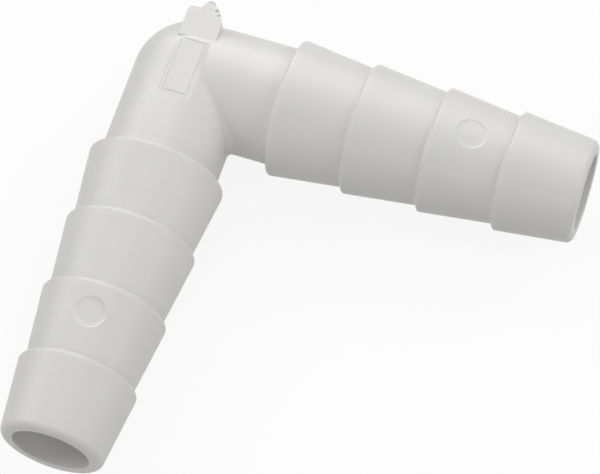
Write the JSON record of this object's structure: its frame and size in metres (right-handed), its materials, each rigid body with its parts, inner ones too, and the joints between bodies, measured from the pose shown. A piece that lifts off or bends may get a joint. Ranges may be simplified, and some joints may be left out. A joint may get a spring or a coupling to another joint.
{
  "type": "angled hose connector",
  "caption": "One-piece translucent plastic elbow with a barbed hose tail on each side of a round right-angle corner, bored through from mouth to mouth.",
  "frame": {"origin": "the point where the axes of the two bores cross, at the centre of the round corner", "axes": "+X along the tail that the panel lies in line with, out of its mouth; +Y along the other tail, out of its mouth; +Z to the side with the panel and the pin marks, so that the part lies flat on its -Z side"},
  "size_m": [0.0505, 0.0498, 0.0144],
  "materials": {
    "natural_plastic": "milky translucent natural polypropylene, as moulded"
  },
  "bodies": {
    "root": {"hose_elbow": "natural_plastic"}
  },
  "joints": []
}
